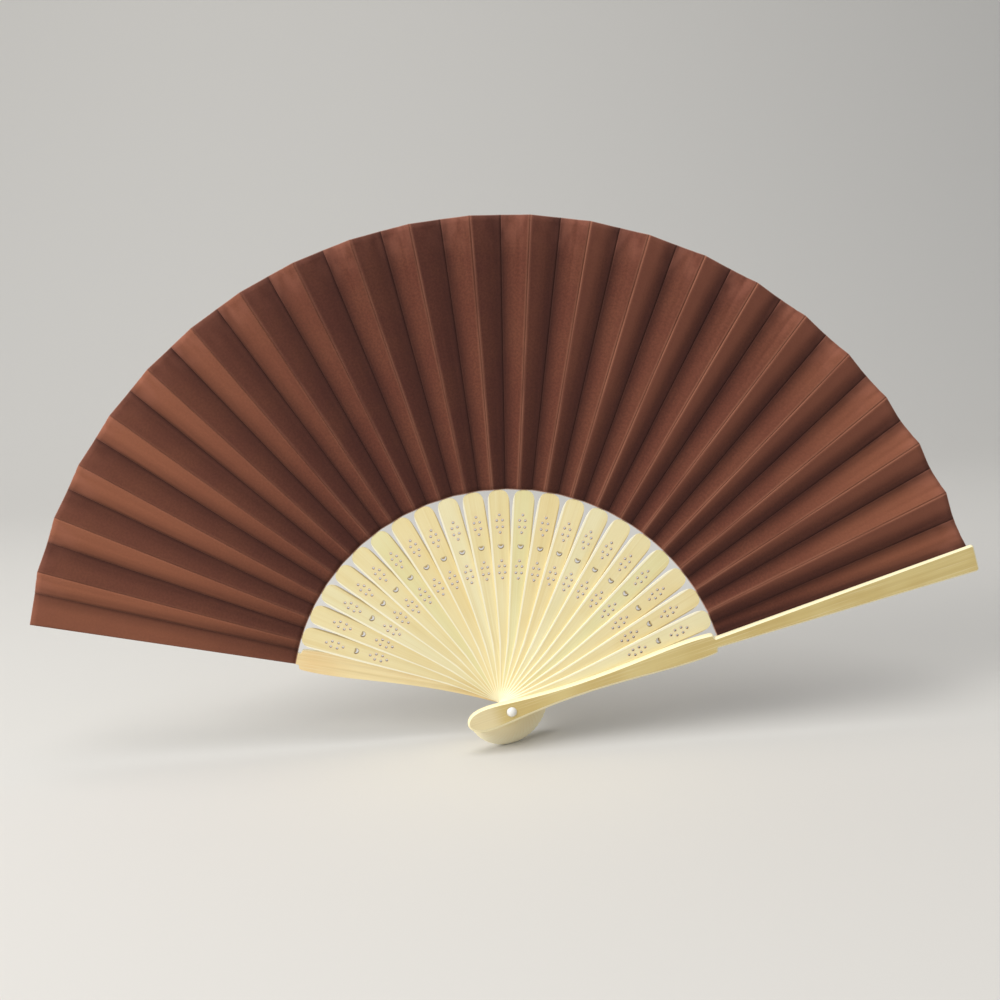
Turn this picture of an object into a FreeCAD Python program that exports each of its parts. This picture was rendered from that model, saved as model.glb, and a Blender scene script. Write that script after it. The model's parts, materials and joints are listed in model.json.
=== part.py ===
import FreeCAD, Part
import math
import os

# A folding hand fan, open to its full spread. Millimetres, +Z up.
# The sticks lie in planes parallel to XZ and turn about the rivet, whose axis is Y; the front is at -Y.
# The origin is on the rivet's axis, half way through the stack of sticks.

# The set of sticks. Stick 0 is the front guard, the last one the back guard, those between are ribs.
STICKS = 23
SPREAD = 150.7  # degrees between the two guards
STACK_PITCH = 0.85  # from one stick to the next, along the rivet

# The outline that every stick shares, from the rounded head below the rivet to the shoulder.
HEAD_REACH = 17.0
HEAD_WIDTH = 9.3
HEAD_ROUND = 8.0
RIVET_WIDTH = 8.2
WAIST_AT = 25.0
WAIST_WIDTH = 5.2
BLADE_AT = 54.0
BLADE_WIDTH = 7.1
SHOULDER_AT = 79.5
SHOULDER_WIDTH = 8.4
SHOULDER_TOP = 85.8
SHOULDER_SQUARENESS = 3.0  # 2 is an ellipse, more is squarer

# Ribs, with the narrow slip that carries the leaf.
RIB_THICKNESS = 0.80
SLIP_WIDTH = 3.0
SLIP_THICKNESS = 0.28
SLIP_END = 184.0
SLIP_ROOT = 84.1
GLUE = 0.02

# The piercing of a rib: a flower of six holes, a crescent and a second flower.
HOLE_DIAMETER = 0.90
FLOWER_RADII = (72.7, 54.5)
FLOWER_REACH = 3.45
FLOWER_LATERAL = 1.10
FLOWER_AXIAL = 1.30
CRESCENT_AT = 63.9
CRESCENT_RADIUS = 1.05
CRESCENT_BITE = 0.88
CRESCENT_SHIFT = 0.72

# Guards.
GUARD_THICKNESS = 2.6
GUARD_TIPS = (193.6, 189.3)  # of the front and the back guard
GUARD_TIP_WIDTH = 11.2
GUARD_TIP_DROP = 0.6  # of the tip's middle below the stick's axis
GUARD_HEAD_REACH = 17.8
GUARD_NECK_AT = 85.0
GUARD_NECK_WIDTH = 4.4
GUARD_SHOULDER_WIDTH = 8.8
GUARD_TIP_ROUND = 1.2
GUARD_BEVEL = 0.7
REBATE_FROM = 85.85
REBATE_TO = 193.0
FRONT_REBATE = (0.60, 1.45)  # there and here
BACK_REBATE = (0.90, 1.75)

# Rivet.
PIN_DIAMETER = 2.40
BORE_DIAMETER = 2.50
DOME_DIAMETER = 4.0
DOME_HEIGHT = 1.2
SPOT_DIAMETER = 4.3
SPOT_DEPTH = 0.25
PLAY = 0.03

# Leaf: one strip of cloth, folded at 44 lines. Every other panel is glued to a stick.
LEAF_INNER = 85.95
LEAF_OUTER = 189.5
RUN_OUT = 1.8  # how much further out the strip's outer edge is at the front guard
RUN_OUT_OVER = 3  # sticks
LEAF_THICKNESS = 0.22
PANEL_TILT = 13.5  # of a glued panel, about its stick's own axis
RIDGE_ANGLE = 1.62  # from a stick's axis to the fold nearer the front
VALLEY_ANGLE = 1.96  # and to the fold further back
END_RIDGE_ANGLE = 1.20  # the fold hidden under the front guard's edge
END_VALLEY_ANGLE = 2.40  # the last fold, beside the back guard
FRONT_MARGIN_ANGLE = 1.25  # the leaf's two ends, on the guards
BACK_MARGIN_ANGLE = 1.52

LAST = STICKS - 1
ANGLE_PITCH = SPREAD / LAST
V = FreeCAD.Vector
ORIGIN = V(0, 0, 0)
RIVET_AXIS = V(0, 1, 0)


def stick_angle(k):
    """Degrees anticlockwise from +X, seen from the front."""
    return 90.0 - SPREAD / 2 + k * ANGLE_PITCH


def stick_depth(k):
    """The Y of a stick's middle plane."""
    return (k - LAST / 2) * STACK_PITCH


def put_in_place(shape, k):
    """From a stick's own frame, with its axis along +X, to its place in the open fan."""
    placed = shape.copy()
    placed.rotate(ORIGIN, RIVET_AXIS, -stick_angle(k))
    placed.translate(V(0, stick_depth(k), 0))
    return placed


def rounded_end(centre, reach, half_width, angles, squareness=2.0):
    """Points on one side of an end that is round, or squarer than round."""
    points = []
    for a in angles:
        along = math.cos(math.radians(a))
        across = math.sin(math.radians(a))
        power = 2 / squareness
        x = centre + reach * math.copysign(abs(along) ** power, along)
        points.append(V(x, 0, half_width * abs(across) ** power))
    return points


def stick_side(head_reach, shoulder_width, shoulder_angles):
    """One side of a stick, from the end of the head to the shoulder."""
    head = rounded_end(HEAD_ROUND - head_reach, HEAD_ROUND, HEAD_WIDTH / 2, (180, 150, 120, 90))
    body = [
        V(0, 0, RIVET_WIDTH / 2),
        V(WAIST_AT, 0, WAIST_WIDTH / 2),
        V(BLADE_AT, 0, BLADE_WIDTH / 2),
    ]
    reach = SHOULDER_TOP - SHOULDER_AT
    shoulder = rounded_end(SHOULDER_AT, reach, shoulder_width / 2, shoulder_angles, SHOULDER_SQUARENESS)
    return head + body + shoulder


def mirrored(points):
    return [V(p.x, p.y, -p.z) for p in points]


def smooth_edge(points, start, end):
    curve = Part.BSplineCurve()
    curve.interpolate(Points=points, InitialTangent=start.normalize(), FinalTangent=end.normalize(), Scale=False)
    return curve.toShape()


def plate(edges, low, high):
    """A flat blank between two depths."""
    face = Part.Face(Part.Wire(Part.__sortEdges__(edges)))
    face.translate(V(0, low, 0))
    return face.extrude(V(0, high - low, 0))


def hole(x, z, diameter):
    return Part.makeCylinder(diameter / 2, 20, V(x, -10, z), RIVET_AXIS)


def flower(x):
    holes = [hole(x + s * FLOWER_REACH, 0, HOLE_DIAMETER) for s in (-1, 1)]
    for s in (-1, 1):
        for side in (-1, 1):
            holes.append(hole(x + s * FLOWER_AXIAL, side * FLOWER_LATERAL, HOLE_DIAMETER))
    return holes


def crescent(x):
    """Horns towards the leaf, bulge towards the rivet."""
    disc = hole(x, 0, 2 * CRESCENT_RADIUS)
    bite = hole(x + CRESCENT_SHIFT, 0, 2 * CRESCENT_BITE)
    return disc.cut(bite)


def slip():
    """The thin strip behind a glued panel, tilted as the panel is, with a root on its front half that runs into the shoulder."""
    half = SLIP_WIDTH / 2
    corners = [
        V(SLIP_ROOT, 0, 0),
        V(SLIP_ROOT, 0, half),
        V(SLIP_END - half, 0, half),
        V(SLIP_END, 0, half / 2),
        V(SLIP_END, 0, -half / 2),
        V(SLIP_END - half, 0, -half),
        V(REBATE_FROM, 0, -half),
        V(REBATE_FROM, 0, 0),
    ]
    face = Part.Face(Part.makePolygon(corners + corners[:1]))
    face.translate(V(0, LEAF_THICKNESS / 2 + GLUE, 0))
    strip = face.extrude(V(0, SLIP_THICKNESS, 0))
    strip.rotate(ORIGIN, V(1, 0, 0), PANEL_TILT)
    return strip


def rib():
    side = stick_side(HEAD_REACH, SHOULDER_WIDTH, (90, 70, 50, 35, 20, 0))
    edges = [
        smooth_edge(side, V(0, 0, 1), V(0, 0, -1)),
        smooth_edge(mirrored(side), V(0, 0, -1), V(0, 0, 1)),
    ]
    blank = plate(edges, -RIB_THICKNESS / 2, RIB_THICKNESS / 2)
    cutters = [hole(0, 0, BORE_DIAMETER), crescent(CRESCENT_AT)]
    for x in FLOWER_RADII:
        cutters.extend(flower(x))
    return blank.fuse(slip()).cut(cutters)


def guard_outline(k):
    """Head, waist and shoulder as on a rib, then a long blade that widens to the tip."""
    side = stick_side(GUARD_HEAD_REACH, GUARD_SHOULDER_WIDTH, (90, 65, 50))
    neck = V(GUARD_NECK_AT, 0, GUARD_NECK_WIDTH / 2)
    r = GUARD_TIP_ROUND
    edges = []
    ends = []
    for s in (1, -1):
        tip = V(GUARD_TIPS[0 if k == 0 else 1], 0, GUARD_TIP_WIDTH / 2 - s * GUARD_TIP_DROP)
        before = V(tip.x - r, 0, tip.z - r * (tip.z - neck.z) / (tip.x - neck.x))
        after = V(tip.x, 0, tip.z - r)
        middle = V(tip.x - 0.3 * r, 0, tip.z - 0.32 * r)
        points = side if s > 0 else mirrored(side)
        flip = [V(p.x, 0, s * p.z) for p in (neck, before, middle, after)]
        drop = V(1.0, 0, -1.3 * s)
        edges.append(smooth_edge(points, V(0, 0, s), drop))
        edges.append(smooth_edge([points[-1], flip[0]], drop, V(1.0, 0, 0.03 * s)))
        edges.append(Part.makeLine(flip[0], flip[1]))
        edges.append(Part.Arc(flip[1], flip[2], flip[3]).toShape())
        ends.append(flip[3])
    edges.append(Part.makeLine(*ends))
    return edges


def inner_depth(k, x):
    """How far a guard's inner face is cut back at a distance x up the blade, and that face's Y in the stick's frame."""
    near, far = FRONT_REBATE if k == 0 else BACK_REBATE
    cut = near + (far - near) * (x - REBATE_FROM) / (REBATE_TO - REBATE_FROM)
    outward = -1 if k == 0 else 1
    return outward * (cut - RIB_THICKNESS / 2)


def rebate(k):
    """What is cut away so that the folded leaf has room between guard and sticks."""
    inward = 1 if k == 0 else -1
    corners = [
        V(REBATE_FROM, inner_depth(k, REBATE_FROM), -10),
        V(REBATE_TO + 5, inner_depth(k, REBATE_TO + 5), -10),
        V(REBATE_TO + 5, inward * 5, -10),
        V(REBATE_FROM, inward * 5, -10),
    ]
    return Part.Face(Part.makePolygon(corners + corners[:1])).extrude(V(0, 0, 20))


def guard(k):
    outward = -1 if k == 0 else 1
    inner = -outward * RIB_THICKNESS / 2
    outer = inner + outward * GUARD_THICKNESS
    blank = plate(guard_outline(k), min(inner, outer), max(inner, outer))
    rim = [e for e in blank.Edges if abs(e.BoundBox.YMin - outer) < 1e-4 and abs(e.BoundBox.YMax - outer) < 1e-4]
    blank = blank.makeChamfer(GUARD_BEVEL, rim)
    floor = outer - outward * SPOT_DEPTH
    spot = Part.makeCylinder(SPOT_DIAMETER / 2, 5, V(0, floor, 0), V(0, outward, 0))
    return blank.cut([hole(0, 0, BORE_DIAMETER), spot, rebate(k)])


def spot_floor(k):
    """The Y of the flat that a rivet dome sits on."""
    outward = -1 if k == 0 else 1
    return stick_depth(k) + outward * (GUARD_THICKNESS - RIB_THICKNESS / 2 - SPOT_DEPTH)


def dome(k):
    outward = -1 if k == 0 else 1
    base = spot_floor(k) + outward * PLAY
    radius = DOME_DIAMETER / 2
    sphere_radius = (radius ** 2 + DOME_HEIGHT ** 2) / (2 * DOME_HEIGHT)
    centre = V(0, base + outward * (DOME_HEIGHT - sphere_radius), 0)
    keep = Part.makeCylinder(radius + 1, 10, V(0, base, 0), V(0, outward, 0))
    return Part.makeSphere(sphere_radius, centre).common(keep)


def rivet():
    start = spot_floor(0) - PLAY
    end = spot_floor(LAST) + PLAY + DOME_HEIGHT / 2
    shaft = Part.makeCylinder(PIN_DIAMETER / 2, end - start, V(0, start, 0), RIVET_AXIS)
    return dome(0).fuse(shaft)


def rivet_cap():
    base = spot_floor(LAST) + PLAY
    socket = Part.makeCylinder(PIN_DIAMETER / 2, DOME_HEIGHT / 2, V(0, base, 0), RIVET_AXIS)
    return dome(LAST).cut(socket)


def fold_angle(k, ridge):
    if k == 0:
        return END_RIDGE_ANGLE if ridge else -FRONT_MARGIN_ANGLE
    if k == LAST:
        return BACK_MARGIN_ANGLE if ridge else -END_VALLEY_ANGLE
    return RIDGE_ANGLE if ridge else -VALLEY_ANGLE


def fold_point(k, ridge, radius):
    """Where a fold of stick k is at a radius, in the open fan. Ridges come forward, valleys go back."""
    a = math.radians(fold_angle(k, ridge))
    x = radius * math.cos(a)
    z = radius * math.sin(a)
    if k == 0:
        y = inner_depth(k, x) + LEAF_THICKNESS / 2 + GLUE
    elif k == LAST:
        y = inner_depth(k, x) - LEAF_THICKNESS / 2 - GLUE
    else:
        y = -z * math.tan(math.radians(PANEL_TILT))
    t = math.radians(stick_angle(k))
    return V(x * math.cos(t) - z * math.sin(t), stick_depth(k) + y, x * math.sin(t) + z * math.cos(t))


def outer_radius(k):
    return LEAF_OUTER + RUN_OUT * max(0, 1 - k / RUN_OUT_OVER)


def fold_line(k, ridge):
    return [fold_point(k, ridge, r) for r in (LEAF_INNER, outer_radius(k))]


def glued_panel(k):
    inner_a, outer_a = fold_line(k, True)
    inner_b, outer_b = fold_line(k, False)
    face = Part.Face(Part.makePolygon([inner_a, outer_a, outer_b, inner_b, inner_a]))
    face.translate(V(0, -LEAF_THICKNESS / 2, 0))
    return face.extrude(V(0, LEAF_THICKNESS, 0))


def free_panel(k):
    """From the ridge beside stick k to the valley beside the next stick; a ruled, slightly twisted panel."""
    face = Part.makeRuledSurface(Part.makeLine(*fold_line(k, True)), Part.makeLine(*fold_line(k + 1, False)))
    face.translate(V(0, -LEAF_THICKNESS / 2, 0))
    return face.extrude(V(0, LEAF_THICKNESS, 0))


def pleat(k):
    return glued_panel(k).fuse(free_panel(k))


def save(shape, name):
    solid = shape.Solids[0] if len(shape.Solids) == 1 else shape
    solid.exportStep(os.path.join("parts", name + ".step"))
    print(name, len(shape.Solids), solid.isValid(), round(solid.Volume, 3))


os.makedirs("parts", exist_ok=True)

save(put_in_place(guard(0), 0), "front_guard")
one_rib = rib()
for k in range(1, LAST):
    save(put_in_place(one_rib, k), f"rib_{k:02d}")
save(put_in_place(guard(LAST), LAST), "back_guard")
save(rivet(), "rivet")
save(rivet_cap(), "rivet_cap")
for k in range(LAST):
    save(pleat(k), f"leaf_pleat_{k:02d}")
save(glued_panel(LAST), "leaf_end")
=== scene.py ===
"""Looks of an open folding hand fan, in metres.

The ribs, guards and rivet are the CAD's. The cloth leaf is made here, with one panel for each space
between two folds.
"""

import json
import math
import random

import bpy
from mathutils import Matrix, Vector

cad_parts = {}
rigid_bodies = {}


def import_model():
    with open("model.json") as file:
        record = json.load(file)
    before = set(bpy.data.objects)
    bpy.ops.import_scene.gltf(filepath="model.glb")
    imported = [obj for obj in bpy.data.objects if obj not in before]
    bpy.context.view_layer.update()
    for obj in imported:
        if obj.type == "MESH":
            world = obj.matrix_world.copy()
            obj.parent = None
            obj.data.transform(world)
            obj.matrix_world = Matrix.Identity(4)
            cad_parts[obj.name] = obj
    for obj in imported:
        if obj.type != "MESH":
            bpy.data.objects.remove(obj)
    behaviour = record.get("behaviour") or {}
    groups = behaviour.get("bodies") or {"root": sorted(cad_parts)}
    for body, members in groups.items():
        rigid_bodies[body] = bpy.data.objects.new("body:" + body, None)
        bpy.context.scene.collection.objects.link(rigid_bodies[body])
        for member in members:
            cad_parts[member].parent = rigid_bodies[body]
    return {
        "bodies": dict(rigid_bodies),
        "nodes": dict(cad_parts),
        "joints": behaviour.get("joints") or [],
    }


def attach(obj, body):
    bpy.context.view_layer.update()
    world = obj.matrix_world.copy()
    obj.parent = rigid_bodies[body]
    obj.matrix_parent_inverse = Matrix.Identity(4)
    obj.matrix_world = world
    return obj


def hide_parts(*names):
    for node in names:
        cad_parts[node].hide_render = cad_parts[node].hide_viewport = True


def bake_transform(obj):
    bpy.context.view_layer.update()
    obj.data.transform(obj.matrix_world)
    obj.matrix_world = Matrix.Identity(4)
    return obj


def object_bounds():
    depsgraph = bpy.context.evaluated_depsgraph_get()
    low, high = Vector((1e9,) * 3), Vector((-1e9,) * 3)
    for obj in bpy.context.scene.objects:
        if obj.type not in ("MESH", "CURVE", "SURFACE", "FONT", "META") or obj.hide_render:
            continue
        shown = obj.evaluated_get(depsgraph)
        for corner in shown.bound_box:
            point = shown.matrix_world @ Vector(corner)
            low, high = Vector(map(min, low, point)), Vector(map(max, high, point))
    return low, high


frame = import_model()
CAD_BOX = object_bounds()

MM = 0.001
random.seed(11)

# What the leaf needs to know of the sticks. Stick 0 is the front guard and the last one the back guard.
STICKS = len(frame["bodies"])
LAST = STICKS - 1
ANGLE_PITCH = max(frame["joints"][0]["range_deg"])
SPREAD = ANGLE_PITCH * LAST
STACK_PITCH = 0.85 * MM
RIB_THICKNESS = 0.80 * MM
REBATE_FROM = 85.85 * MM
REBATE_TO = 193.0 * MM
FRONT_REBATE = (0.60 * MM, 1.45 * MM)
BACK_REBATE = (0.90 * MM, 1.75 * MM)
GLUE = 0.02 * MM

# The leaf, as in the CAD.
LEAF_INNER = 85.95 * MM
LEAF_OUTER = 189.5 * MM
RUN_OUT = 1.8 * MM  # how much further out the strip's outer edge is at the front guard
RUN_OUT_OVER = 3  # sticks
CLOTH = 0.22 * MM  # its thickness
PANEL_TILT = 13.5  # degrees between a glued panel and the fan's plane
RIDGE_ROUND = 1.6  # millimetres of cloth that bend at each side of a ridge, which is a pressed fold
VALLEY_ROUND = 4.2 * MM  # the cloth that bends at each side of a valley, which is a soft one
VALLEY_ROUND_SHARE = 0.55  # of a panel's width, at most
TUCKED = 1.7 * MM  # how much of the first free panel goes under the front guard, where it gets painted shade

# Where the folds and the cloth's two ends lie, in degrees from a stick's middle. Ridges and the end on the
# back guard are to its left, valleys and the end on the front guard to its right.
RIDGE_ANGLE = 1.62
VALLEY_ANGLE = 1.96
END_RIDGE_ANGLE = 1.20
END_VALLEY_ANGLE = 2.40
FRONT_MARGIN_ANGLE = 1.25
BACK_MARGIN_ANGLE = 1.52

# The piercing of a rib, for its scorched walls and the tinted wood around the holes.
PIERCED_FROM = 48 * MM
PIERCED_TO = 79 * MM
PIERCED_HALF_WIDTH = 2.6 * MM
# Millimetres, as the materials measure. A rib's half width is its blade's or its head's, whichever is more.
BLADE_HALF_AT_RIVET = 1.865
BLADE_WIDENING = 0.0294  # for each millimetre outwards
HEAD_HALF_AT_RIVET = 4.10
HEAD_NARROWING = 0.060
FLOWER_RADII = (72.7, 54.5)
CRESCENT_AT = 63.9
FLOWER_REACH = 3.45
FLOWER_LATERAL = 1.10
FLOWER_AXIAL = 1.30

# A panel's mesh, and the soft second fold near its outer edge, as shares of its length and width.
ACROSS = 16  # cells across a panel
ALONG = 48  # cells from the inner edge to the outer edge
CREASE_FROM = 0.45
CREASE_HALF_WIDTH = 0.075
FAR_FROM_A_RIDGE = 9.0  # millimetres, where a ridge's painted highlight has no effect


def body_name(k):
    if k == 0:
        return "front_guard"
    return "back_guard" if k == LAST else f"rib_{k:02d}"


def stick_angle(k):
    """Degrees anticlockwise from +X, seen from the front."""
    return 90.0 - SPREAD / 2 + k * ANGLE_PITCH


def stick_depth(k):
    return (k - LAST / 2) * STACK_PITCH


def from_stick(k, x, y, z):
    """A point in stick k's own frame, x along it and z across it, in the open fan."""
    t = math.radians(stick_angle(k))
    return Vector((x * math.cos(t) - z * math.sin(t), stick_depth(k) + y, x * math.sin(t) + z * math.cos(t)))


def guard_depth(k, x):
    """The Y of a guard's inner face, in the guard's frame."""
    near, far = FRONT_REBATE if k == 0 else BACK_REBATE
    cut = near + (far - near) * (x - REBATE_FROM) / (REBATE_TO - REBATE_FROM)
    return (cut - RIB_THICKNESS / 2) * (-1 if k == 0 else 1)


def fold_angle(k, ridge):
    if k == 0:
        return END_RIDGE_ANGLE if ridge else -FRONT_MARGIN_ANGLE
    if k == LAST:
        return BACK_MARGIN_ANGLE if ridge else -END_VALLEY_ANGLE
    return RIDGE_ANGLE if ridge else -VALLEY_ANGLE


def fold_point(k, ridge, radius):
    """A fold runs out along stick k, on its left as a ridge or on its right as a valley."""
    a = math.radians(fold_angle(k, ridge))
    x = radius * math.cos(a)
    z = radius * math.sin(a)
    if k == 0:
        y = guard_depth(k, x) + CLOTH / 2 + GLUE
    elif k == LAST:
        y = guard_depth(k, x) - CLOTH / 2 - GLUE
    else:
        y = -z * math.tan(math.radians(PANEL_TILT))
    return from_stick(k, x, y, z)


def fold_line(k, ridge):
    outer = LEAF_OUTER + RUN_OUT * max(0, 1 - k / RUN_OUT_OVER)
    return [fold_point(k, ridge, r) for r in (LEAF_INNER, outer)]


# Materials

def srgb(r, g, b):
    """A colour given as 0 to 255, as linear RGBA."""
    out = []
    for c in (r, g, b):
        c = c / 255
        out.append(c / 12.92 if c <= 0.04045 else ((c + 0.055) / 1.055) ** 2.4)
    return (*out, 1.0)


class Nodes:
    """A short way to add nodes to a material."""

    def __init__(self, name):
        self.material = bpy.data.materials.new(name)
        self.material.use_nodes = True
        self.tree = self.material.node_tree
        self.shader = self.tree.nodes["Principled BSDF"]

    def add(self, kind, inputs=None, **settings):
        node = self.tree.nodes.new(kind)
        for key, value in settings.items():
            setattr(node, key, value)
        for key, value in (inputs or {}).items():
            self.put(node.inputs[key], value)
        return node

    def put(self, socket, value):
        if isinstance(value, bpy.types.NodeSocket):
            self.tree.links.new(value, socket)
        else:
            socket.default_value = value

    def coordinates(self):
        return self.add("ShaderNodeTexCoord").outputs["Object"]

    def uv(self, name):
        return self.add("ShaderNodeUVMap", uv_map=name).outputs["UV"]

    def mapped(self, vector, scale=(1, 1, 1), rotation=(0, 0, 0), location=(0, 0, 0)):
        inputs = {"Vector": vector, "Scale": scale, "Rotation": rotation, "Location": location}
        return self.add("ShaderNodeMapping", inputs).outputs["Vector"]

    def noise(self, vector, scale=1.0, detail=3.0, roughness=0.5):
        inputs = {"Vector": vector, "Scale": scale, "Detail": detail, "Roughness": roughness}
        return self.add("ShaderNodeTexNoise", inputs).outputs["Fac"]

    def spread(self, value, low, high, to_low=0.0, to_high=1.0):
        """Maps low..high to to_low..to_high, smoothly, and clamps."""
        inputs = {"Value": value, "From Min": low, "From Max": high, "To Min": to_low, "To Max": to_high}
        return self.add("ShaderNodeMapRange", inputs, interpolation_type="SMOOTHSTEP").outputs["Result"]

    def maths(self, operation, a, b=0.0):
        if operation == "HYPOT":
            squares = [self.maths("MULTIPLY", x, x) for x in (a, b)]
            return self.maths("SQRT", self.maths("ADD", *squares))
        node = self.add("ShaderNodeMath", operation=operation)
        self.put(node.inputs[0], a)
        self.put(node.inputs[1], b)
        return node.outputs[0]

    def mix(self, factor, a, b):
        node = self.add("ShaderNodeMix", data_type="RGBA")
        self.put(node.inputs["Factor"], factor)
        self.put(node.inputs["A"], a)
        self.put(node.inputs["B"], b)
        return node.outputs["Result"]

    def bump(self, height, distance, strength=1.0):
        inputs = {"Height": height, "Distance": distance, "Strength": strength}
        self.put(self.shader.inputs["Normal"], self.add("ShaderNodeBump", inputs).outputs["Normal"])

    def finish(self, colour, roughness, specular=0.5):
        self.put(self.shader.inputs["Base Color"], colour)
        self.put(self.shader.inputs["Roughness"], roughness)
        self.shader.inputs["Specular IOR Level"].default_value = specular
        return self.material


def place_on_stick(n, k):
    """The place along stick k and across it, in millimetres, and the point itself in the stick's frame."""
    own = n.mapped(n.coordinates(), rotation=(0, math.radians(stick_angle(k)), 0))
    parts = n.add("ShaderNodeSeparateXYZ", {"Vector": own})
    return n.maths("MULTIPLY", parts.outputs["X"], 1000), n.maths("MULTIPLY", parts.outputs["Z"], 1000), own


def bamboo(name, k, light, warm, streak, streak_amount):
    """Straight-grained bamboo, its fibres along stick k."""
    n = Nodes(name)
    along, across, own = place_on_stick(n, k)
    own = n.mapped(own, location=[random.uniform(-1, 1) for _ in range(3)])
    fibres = n.noise(n.mapped(own, (28, 2600, 2600)), detail=4, roughness=0.6)
    bands = n.noise(n.mapped(own, (7, 420, 420)), detail=3, roughness=0.5)
    clouds = n.noise(own, scale=38, detail=2)
    colour = n.mix(n.spread(clouds, 0.35, 0.68), light, warm)
    colour = n.mix(n.spread(bands, 0.46, 0.76, 0, streak_amount), colour, streak)
    colour = n.mix(n.spread(fibres, 0.50, 0.80, 0, 0.7 * streak_amount), colour, streak)
    colour = n.mix(n.spread(fibres, 0.48, 0.26, 0, 0.30), colour, srgb(255, 247, 218))
    # Painted light: paler towards the head end, below the rivet, most on the ribs.
    colour = n.mix(n.spread(along, -2, -9, 0, 0.85 if 0 < k < LAST else 0.35), colour, srgb(255, 246, 216))
    if 0 < k < LAST:
        colour = rib_marks(n, along, across, colour)
    n.bump(n.maths("ADD", fibres, n.maths("MULTIPLY", bands, 0.7)), 0.03 * MM, 0.5)
    return n.finish(colour, n.spread(bands, 0.3, 0.7, 0.46, 0.60), 0.35)


def rib_marks(n, along, across, colour):
    """A rib gets a painted highlight along its left edge and painted shade along its right one, where the
    next rib covers it, and is tinted around the holes.
    """
    blade = n.maths("ADD", n.maths("MULTIPLY", along, BLADE_WIDENING), BLADE_HALF_AT_RIVET)
    head = n.maths("SUBTRACT", HEAD_HALF_AT_RIVET, n.maths("MULTIPLY", along, HEAD_NARROWING))
    half = n.maths("MAXIMUM", blade, head)
    left = n.maths("SUBTRACT", half, across)
    right = n.maths("ADD", half, across)
    # Painted shade along the right edge, under the neighbouring rib, and a painted highlight along the left
    # edge with a faint painted darker band just inside it.
    colour = n.mix(n.spread(right, 2.8, 0.4, 0, 0.20), colour, srgb(232, 204, 130))
    # Painted contact shade at the very right edge, from 20 mm out.
    painted_contact_shade = n.maths("MULTIPLY", n.spread(right, 0.55, 0.10, 0, 0.65), n.spread(along, 20, 40))
    colour = n.mix(painted_contact_shade, colour, srgb(150, 122, 74))
    colour = n.mix(n.spread(left, 1.40, 0.80, 0, 0.15), colour, srgb(214, 188, 128))
    colour = n.mix(n.spread(left, 0.85, 0.40, 0, 0.80), colour, srgb(255, 250, 226))
    axial = n.maths("MINIMUM", *(n.maths("ABSOLUTE", n.maths("SUBTRACT", along, x)) for x in FLOWER_RADII))
    lateral = n.maths("SUBTRACT", n.maths("ABSOLUTE", across), FLOWER_LATERAL)
    inner = n.maths("HYPOT", n.maths("SUBTRACT", axial, FLOWER_AXIAL), lateral)
    outer = n.maths("HYPOT", n.maths("SUBTRACT", axial, FLOWER_REACH), across)
    near = n.maths("MINIMUM", inner, outer)
    colour = n.mix(n.spread(near, 1.15, 0.60, 0, 0.50), colour, srgb(240, 210, 172))
    moon = n.maths("HYPOT", n.maths("SUBTRACT", along, CRESCENT_AT), across)
    below = n.spread(along, CRESCENT_AT + 0.9, CRESCENT_AT + 0.3)
    moon = n.maths("MULTIPLY", n.spread(moon, 1.40, 1.10), below)
    burnt = n.maths("MAXIMUM", n.spread(near, 0.62, 0.48, 0, 0.60), n.maths("MULTIPLY", moon, 0.75))
    return n.mix(burnt, colour, srgb(146, 116, 70))


def edge_highlight(name, colour):
    """A stick's edge, paler than its face: a painted highlight, with the wood's grain."""
    n = Nodes(name)
    grain = n.noise(n.coordinates(), scale=1500, detail=3)
    n.bump(grain, 0.03 * MM, 0.4)
    return n.finish(n.mix(n.spread(grain, 0.35, 0.7, 0, 0.25), colour, srgb(238, 220, 164)), 0.5)


def scorched():
    """The walls of the pierced holes."""
    n = Nodes("pierced_wall")
    grain = n.noise(n.coordinates(), scale=2500, detail=2)
    return n.finish(n.mix(grain, srgb(74, 50, 28), srgb(112, 80, 46)), 0.85, 0.15)


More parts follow.
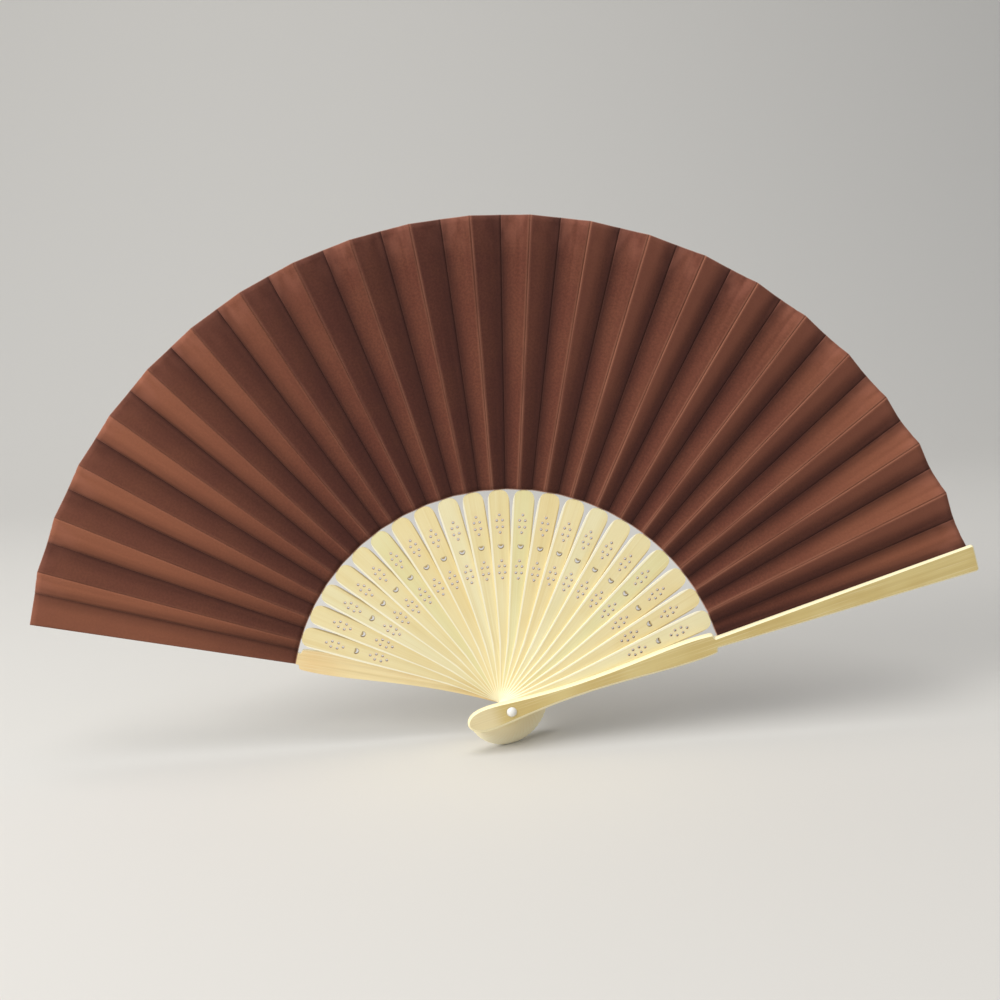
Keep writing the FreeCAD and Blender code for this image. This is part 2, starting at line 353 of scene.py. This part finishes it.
def cloth(name, base, worn, valley_reach, valley_amount, rub, end_light=0.0, glow=0.0, side=1):
    """Plain-woven cloth. The maps weave, folds and rims give places in millimetres.
    end_light is painted light, how much paler it is towards the fan's two ends, and glow painted light, how
    much paler its ridge half is at the fan's right. Valleys get painted shade and ridges a painted highlight.
    side is -1 for the back of the cloth, where a ridge is a valley."""
    n = Nodes(name)
    weave = n.uv("weave")
    thread = {"Vector": weave, "Scale": 0.95, "Distortion": 0.35, "Detail Scale": 2.0}
    warp = n.add("ShaderNodeTexWave", thread, bands_direction="X")
    weft = n.add("ShaderNodeTexWave", thread, bands_direction="Y")
    threads = n.maths("MULTIPLY", warp.outputs["Fac"], weft.outputs["Fac"])
    slubs = n.noise(n.mapped(weave, (1.6, 0.06, 1)), detail=4)
    mottle = n.noise(n.mapped(n.coordinates(), (60, 60, 60)), detail=4, roughness=0.6)
    colour = n.mix(n.spread(mottle, 0.35, 0.7), base, worn)
    colour = n.mix(n.spread(slubs, 0.48, 0.75, 0, 0.35), colour, worn)
    grain = n.noise(weave, scale=1.1, detail=3)
    colour = n.mix(n.spread(grain, 0.35, 0.65, 0, 0.26), colour, srgb(50, 26, 20))
    colour = n.mix(n.spread(threads, 0.0, 0.75, 0.22, 0), colour, srgb(40, 20, 15))
    place = n.add("ShaderNodeSeparateXYZ", {"Vector": n.coordinates()}).outputs["X"]
    # Painted light: the cloth is paler towards the fan's two ends.
    left_end = n.spread(place, -0.04, -0.15, 0, end_light)
    right_end = n.spread(place, 0.09, 0.17, 0, 0.8 * end_light)
    painted_end_light = n.maths("MAXIMUM", left_end, right_end)
    colour = n.mix(painted_end_light, colour, srgb(166, 104, 76))

    folds = n.add("ShaderNodeSeparateXYZ", {"Vector": n.uv("folds")})
    ridge, valley = (folds.outputs[axis] for axis in ("XY" if side > 0 else "YX"))
    uneven = n.noise(n.mapped(weave, (0.5, 0.03, 1)), detail=2)
    right_half_highlight = n.spread(place, -0.10, 0.06, 0.30, 1)
    deep = n.spread(place, -0.12, 0.02, 0.80, 1)
    # Painted shade deepening towards each valley.
    shade = n.spread(valley, valley_reach, 0.0, 0, valley_amount)
    shade = n.maths("MULTIPLY", shade, n.spread(uneven, 0.25, 0.65, 0.7, 1))
    # Painted light: the ridge half of the cloth is paler at the fan's right.
    painted_ridge_light = n.maths("MULTIPLY", n.spread(place, -0.01, 0.07), n.spread(valley, 1.0, 7.0, 0, glow))
    colour = n.mix(painted_ridge_light, colour, srgb(158, 98, 76))
    # The valley's painted shade, then a darker painted line right at the valley.
    colour = n.mix(n.maths("MULTIPLY", shade, deep), colour, srgb(46, 22, 20))
    colour = n.mix(n.spread(valley, 1.5, 0.0, 0, 0.42), colour, srgb(38, 17, 15))
    # Painted highlight along each ridge, stronger on the fan's right half.
    wear_and_highlight = n.maths("MULTIPLY", n.spread(ridge, 1.25, 0.15, 0, 0.44), n.spread(uneven, 0.35, 0.6, 0.4, 1))
    colour = n.mix(n.maths("MULTIPLY", wear_and_highlight, right_half_highlight), colour, srgb(172, 116, 92))

    rims = n.add("ShaderNodeSeparateXYZ", {"Vector": n.uv("rims")})
    fray = n.noise(n.mapped(weave, (3, 3, 1)), detail=2)
    patch = n.noise(n.mapped(weave, (0.22, 0.12, 1)), detail=1)
    rubbed = n.spread(rims.outputs["Y"], 16, 0.0, 0, rub)
    rubbed = n.maths("MULTIPLY", rubbed, n.spread(patch, 0.30, 0.70, 0.2, 1))
    colour = n.mix(rubbed, colour, srgb(160, 102, 84))
    inner = n.spread(rims.outputs["X"], 0.42, 0.18, 0, 0.75)
    outer = n.spread(rims.outputs["Y"], 0.30, 0.10, 0, 0.40)
    rim = n.maths("MULTIPLY", n.maths("MAXIMUM", inner, outer), n.spread(fray, 0.2, 0.6, 0.5, 1))
    colour = n.mix(rim, colour, srgb(206, 168, 152))

    lint = n.add("ShaderNodeTexVoronoi", {"Vector": weave, "Scale": 0.045, "Randomness": 1.0})
    speck = n.spread(lint.outputs["Distance"], 0.018, 0.010)
    colour = n.mix(n.maths("MULTIPLY", speck, 0.45), colour, srgb(206, 170, 142))

    # A ridge is rounded: the height falls towards it.
    falls = n.maths("MAXIMUM", n.maths("SUBTRACT", RIDGE_ROUND, ridge), 0)
    curve = -math.tan(math.radians(PANEL_TILT)) / (2 * RIDGE_ROUND)
    rounded = n.maths("MULTIPLY", n.maths("MULTIPLY", falls, falls), curve)
    cloth_grain = n.maths("ADD", n.maths("MULTIPLY", threads, 0.035), n.maths("MULTIPLY", slubs, 0.03))
    n.bump(n.maths("ADD", rounded, cloth_grain), 1.0 * MM)
    n.shader.inputs["Sheen Weight"].default_value = 0.10
    n.shader.inputs["Sheen Roughness"].default_value = 0.45
    n.shader.inputs["Sheen Tint"].default_value = srgb(220, 170, 150)
    return n.finish(colour, 0.88, 0.2)


def rivet_plastic():
    n = Nodes("rivet_white")
    wear_and_highlight = n.noise(n.coordinates(), scale=900, detail=4)
    n.bump(wear_and_highlight, 0.02 * MM, 0.3)
    n.shader.inputs["Coat Weight"].default_value = 0.3
    colour = n.mix(wear_and_highlight, srgb(250, 249, 244), srgb(232, 230, 222))
    return n.finish(colour, n.spread(wear_and_highlight, 0.3, 0.7, 0.22, 0.34))


def plain(name, colour, roughness):
    n = Nodes(name)
    return n.finish(colour, roughness, 0.3)


# Sticks: the CAD shapes, with bamboo, softened edges and scorched holes.

FACE, EDGE, WALL = range(3)  # a stick's material slots
SIDEWAYS = 0.3  # a face whose normal has less Y than this is a wall
FLAT = 0.95  # and one with more than this is a guard's flat face
SCORCHED = scorched()
# Edge materials: painted highlights on the sticks' softened edges and the guards' side walls.
RIB_EDGE = edge_highlight("rib_edge_highlight", srgb(255, 249, 222))
GUARD_EDGE = edge_highlight("guard_edge_highlight", srgb(252, 241, 200))
FRONT_GUARD_TINTS = (srgb(216, 196, 134), srgb(206, 182, 118))
BACK_GUARD_TINTS = (srgb(244, 224, 172), srgb(238, 208, 152))
RIB_TINTS = (
    (srgb(240, 227, 178), srgb(236, 220, 166)),
    (srgb(235, 227, 176), srgb(231, 221, 166)),
    (srgb(240, 225, 174), srgb(236, 217, 161)),
    (srgb(240, 230, 186), srgb(235, 224, 176)),
)


def dress_stick(k):
    name = body_name(k)
    node = frame["nodes"][name]
    guard = k in (0, LAST)
    if guard:
        light, warm = FRONT_GUARD_TINTS if k == 0 else BACK_GUARD_TINTS
        face = bamboo(name + "_bamboo", k, light, warm, srgb(186, 158, 92), 0.45)
    else:
        shuffled = k * 7 + k // 3
        light, warm = RIB_TINTS[shuffled % len(RIB_TINTS)]
        face = bamboo(name + "_bamboo", k, light, warm, srgb(220, 194, 128), 0.30)
    node.data.materials.clear()
    for material in (face, GUARD_EDGE if guard else RIB_EDGE, SCORCHED):
        node.data.materials.append(material)
    t = math.radians(stick_angle(k))
    for polygon in node.data.polygons:
        c = polygon.center
        side = abs(polygon.normal.y) < SIDEWAYS
        x = c.x * math.cos(t) + c.z * math.sin(t)
        z = c.z * math.cos(t) - c.x * math.sin(t)
        pierced = not guard and PIERCED_FROM < x < PIERCED_TO and abs(z) < PIERCED_HALF_WIDTH
        edge = guard and abs(polygon.normal.y) < FLAT
        polygon.material_index = WALL if side and pierced else EDGE if edge else FACE
    bevel = node.modifiers.new("softened", "BEVEL")
    bevel.width = (0.10 if guard else 0.13) * MM
    bevel.segments = 2
    bevel.limit_method = "ANGLE"
    bevel.angle_limit = math.radians(50)
    bevel.material = EDGE


for k in range(STICKS):
    dress_stick(k)

RIVET = rivet_plastic()
for name in ("rivet", "rivet_cap"):
    frame["nodes"][name].data.materials.clear()
    frame["nodes"][name].data.materials.append(RIVET)


# Leaf

# The glued cloth's base is darker than the free cloth's: painted shade on the panels that face away from the
# light.
FREE_CLOTH = [
    cloth("cloth_free", srgb(110, 61, 47), srgb(117, 68, 51), 6.0, 0.62, 0.38, end_light=0.58, glow=0.06),
    cloth("cloth_free_back", srgb(98, 56, 44), srgb(104, 62, 47), 2.6, 0.5, 0.2, side=-1),
]
GLUED_CLOTH = [
    cloth("cloth_glued", srgb(94, 52, 43), srgb(101, 58, 45), 8.0, 0.62, 0.12, end_light=0.14, glow=0.38),
    cloth("cloth_glued_back", srgb(98, 56, 44), srgb(104, 62, 47), 2.6, 0.5, 0.2, side=-1),
]

END_CLOTH = [
    cloth("cloth_end", srgb(98, 55, 45), srgb(105, 61, 47), 6.0, 0.50, 0.12, end_light=0.40),
    GLUED_CLOTH[1],
]


def panel(name, left, right, ridge_left, materials, bow=0.0, crease=0.0, tucked=0.0, soft=True):
    """A panel of cloth between two folds, each given as (stick, is it the stick's ridge).
    bow is how far it curves towards the front, and crease how far a soft second fold near the rim sinks in.
    tucked is how much of a panel's right side goes under a guard, which gets painted shade there as a valley
    does.
    soft says that the valley is a rounded fold, and not a crease against a guard."""
    vertices = []
    faces = []
    weave = []
    folds = []
    rims = []
    bows = []
    rounds = []
    creases = []
    offset = random.uniform(0, 50)
    crease_at = random.uniform(0.58, 0.72)
    left, right = fold_line(*left), fold_line(*right)
    length = (left[1] - left[0]).length
    for j in range(ALONG + 1):
        a = left[0].lerp(left[1], j / ALONG)
        b = right[0].lerp(right[1], j / ALONG)
        width = (b - a).length
        gone = length * j / ALONG
        bend = min(VALLEY_ROUND, VALLEY_ROUND_SHARE * width)
        outward = max(0.0, (j / ALONG - CREASE_FROM) / (1 - CREASE_FROM))
        for i in range(ACROSS + 1):
            u = i / ACROSS
            vertices.append(a.lerp(b, u))
            weave.append((offset + (u - 0.5) * width / MM, gone / MM))
            near, far = (u * width / MM, (1 - u) * width / MM)
            to_ridge, to_valley = (near, far) if ridge_left else (far, near)
            # The tucked part gets a valley's painted shade and no ridge highlight.
            if tucked:
                to_valley = min(to_valley, max(0.0, to_ridge - tucked / MM))
                to_ridge = FAR_FROM_A_RIDGE
            folds.append((to_ridge, to_valley))
            rims.append((gone / MM, (length - gone) / MM))
            bows.append(math.sin(math.pi * u))
            unbent = max(0.0, 1 - (1 - u if ridge_left else u) * width / bend)
            rounds.append(bend / VALLEY_ROUND * unbent ** 2)
            creases.append(outward * math.exp(-(((u - crease_at) / CREASE_HALF_WIDTH) ** 2)))
    for j in range(ALONG):
        for i in range(ACROSS):
            first = j * (ACROSS + 1) + i
            faces.append((first, first + 1, first + ACROSS + 2, first + ACROSS + 1))
    mesh = bpy.data.meshes.new(name)
    mesh.from_pydata(vertices, [], faces)
    for label, values in (("weave", weave), ("folds", folds), ("rims", rims)):
        layer = mesh.uv_layers.new(name=label)
        for loop in mesh.loops:
            layer.data[loop.index].uv = values[loop.vertex_index]
    for material in materials:
        mesh.materials.append(material)
    mesh.shade_smooth()
    piece = bpy.data.objects.new(name, mesh)
    bpy.context.scene.collection.objects.link(piece)
    rounding = VALLEY_ROUND / 2 * math.tan(math.radians(PANEL_TILT)) if soft else 0.0
    # Each soft shape moves the cloth only along Y, which is still its depth when the fan closes. In the
    # closed fan they leave 20 of the 44 pairs of neighbouring panels up to 0.43 mm through each other.
    shapes = (("bow", bows, -bow), ("crease", creases, crease), ("valley", rounds, -rounding))
    for label, weights, back in shapes:
        group = piece.vertex_groups.new(name=label)
        for index, weight in enumerate(weights):
            group.add([index], weight, "REPLACE")
        if back:
            shape = piece.modifiers.new(label, "DISPLACE")
            shape.direction = "Y"
            shape.vertex_group = label
            shape.mid_level = 0
            shape.strength = back
    thickness = piece.modifiers.new("cloth", "SOLIDIFY")
    thickness.thickness = CLOTH
    thickness.offset = 0
    thickness.material_offset = 1
    return piece


def declare(piece, left, right):
    """Works out a panel's inner and outer widths, and does nothing more with them."""
    inner, outer = ((a - b).length for a, b in zip(fold_line(*left), fold_line(*right)))


def glued_panel(k):
    left, right = (k, True), (k, False)
    materials = END_CLOTH if k == LAST else GLUED_CLOTH
    piece = panel(f"leaf_glued_{k:02d}", left, right, True, materials, soft=0 < k < LAST)
    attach(piece, body_name(k))
    return piece, left, right


def free_panel(k):
    """From the valley beside stick k + 1 to the ridge beside stick k."""
    left, right = (k + 1, False), (k, True)
    # The panels at the right are hollow seen from the front, and those at the left are crowned.
    bow = (-0.30 + 0.55 * k / LAST + random.uniform(-0.05, 0.05)) * MM
    crease = random.uniform(0.25, 0.50) * MM
    tucked = TUCKED if k == 0 else 0.0
    name = f"leaf_free_{k:02d}"
    piece = panel(name, left, right, False, FREE_CLOTH, bow, crease, tucked, soft=k + 1 < LAST)
    ridge, valley = fold_line(*right), fold_line(*left)
    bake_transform(piece)
    return piece, left, right


for k in range(STICKS):
    node = "leaf_end" if k == LAST else f"leaf_pleat_{k:02d}"
    panels = [glued_panel(k)]
    if k < LAST:
        panels.append(free_panel(k))
    for piece, left, right in panels:
        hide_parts(node)
        declare(piece, left, right)


# Stage, light and camera

def sweep(front, back, side, height, radius, floor):
    """A floor that curves up into a wall."""
    steps = 16
    profile = [(front, floor)]
    for i in range(steps + 1):
        a = math.radians(90 * i / steps)
        profile.append((back - radius + radius * math.sin(a), floor + radius * (1 - math.cos(a))))
    profile.append((back, height))
    vertices = [(s * side, y, z) for y, z in profile for s in (-1, 1)]
    faces = [(2 * i, 2 * i + 1, 2 * i + 3, 2 * i + 2) for i in range(len(profile) - 1)]
    mesh = bpy.data.meshes.new("backdrop")
    mesh.from_pydata(vertices, [], faces)
    mesh.materials.append(plain("backdrop_white", srgb(212, 210, 206), 0.8))
    mesh.shade_smooth()
    stage = bpy.data.objects.new("backdrop", mesh)
    bpy.context.scene.collection.objects.link(stage)


def area_light(name, place, target, size, power, colour):
    light = bpy.data.lights.new(name, "AREA")
    light.size = size
    light.energy = power
    light.color = colour
    lamp = bpy.data.objects.new(name, light)
    lamp.location = place
    lamp.visible_camera = False
    lamp.rotation_euler = (Vector(target) - Vector(place)).to_track_quat("-Z", "Y").to_euler()
    bpy.context.scene.collection.objects.link(lamp)


sweep(front=-4.0, back=1.6, side=5.0, height=4.0, radius=0.9, floor=CAD_BOX[0].z - 0.1 * MM)
AIM = (0, 0, 0.09)
area_light("window", (-1.25, -0.75, 0.85), AIM, 0.7, 18.5, (1.0, 0.985, 0.95))
area_light("ceiling", (-0.2, -0.30, 1.7), AIM, 1.2, 17.0, (1.0, 0.98, 0.95))

world = bpy.data.worlds.new("studio")
world.use_nodes = True
world.node_tree.nodes["Background"].inputs["Color"].default_value = (0.92, 0.95, 1.0, 1)
world.node_tree.nodes["Background"].inputs["Strength"].default_value = 0.38
bpy.context.scene.world = world
bpy.context.scene.view_settings.view_transform = "Standard"

CAMERA_AZIMUTH = -4.49
CAMERA_ELEVATION = 19.66
CAMERA_DISTANCE = 0.4472
CAMERA_ROLL = -2.98
CAMERA_LENS = 39.64
CAMERA_AIM = Vector((0.0006, 0.0, 0.0819))


def place_camera():
    data = bpy.data.cameras.new("camera")
    data.sensor_width = 36
    data.lens = CAMERA_LENS
    data.clip_start = 0.01
    camera = bpy.data.objects.new("camera", data)
    a, e = math.radians(CAMERA_AZIMUTH), math.radians(CAMERA_ELEVATION)
    away = Vector((math.sin(a) * math.cos(e), -math.cos(a) * math.cos(e), math.sin(e)))
    camera.location = CAMERA_DISTANCE * away
    look = (CAMERA_AIM - camera.location).to_track_quat("-Z", "Y").to_matrix().to_4x4()
    roll = Matrix.Rotation(math.radians(CAMERA_ROLL), 4, "Z")
    camera.matrix_world = Matrix.Translation(camera.location) @ look @ roll
    bpy.context.scene.collection.objects.link(camera)
    bpy.context.scene.camera = camera


place_camera()
